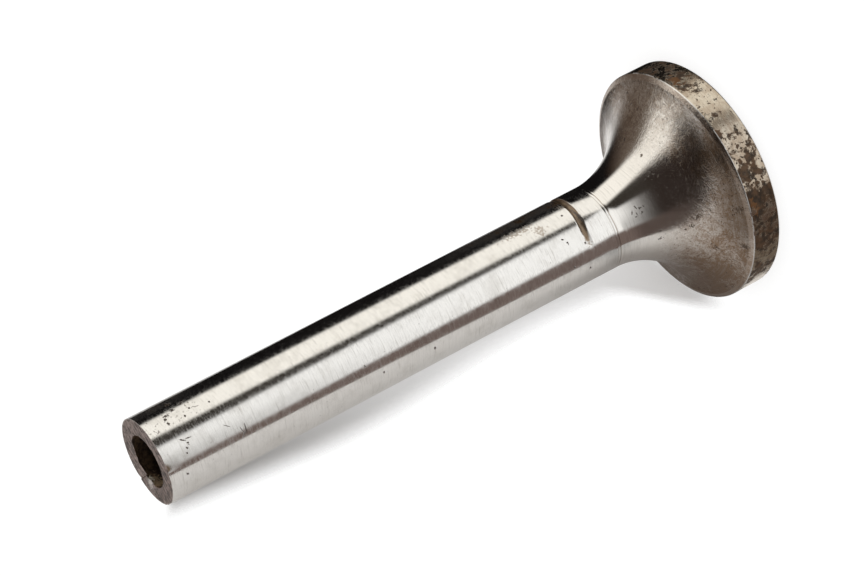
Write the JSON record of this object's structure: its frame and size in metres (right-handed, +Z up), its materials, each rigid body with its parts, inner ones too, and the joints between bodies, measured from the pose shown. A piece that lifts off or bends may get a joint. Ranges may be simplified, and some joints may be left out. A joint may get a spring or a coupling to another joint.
{
  "type": "engine poppet valve with a drilled stem",
  "caption": "Worn engine poppet valve: drilled straight stem with a sawn end, long neck fillet, narrow seat band and thick plain-rimmed head with a flat face.",
  "frame": {"origin": "centre of the head's flat face, on the stem's axis", "axes": "+Z up the stem from the head's face to the sawn end; -Y is the side seen in the main view; +X carries the deepest side of the wear groove"},
  "size_m": [0.0445, 0.0444, 0.1192],
  "materials": {
    "valve_steel": "ground and polished stem, brown-grey used neck, blotched and scratched rim"
  },
  "bodies": {
    "root": {"valve": "valve_steel"}
  },
  "joints": []
}
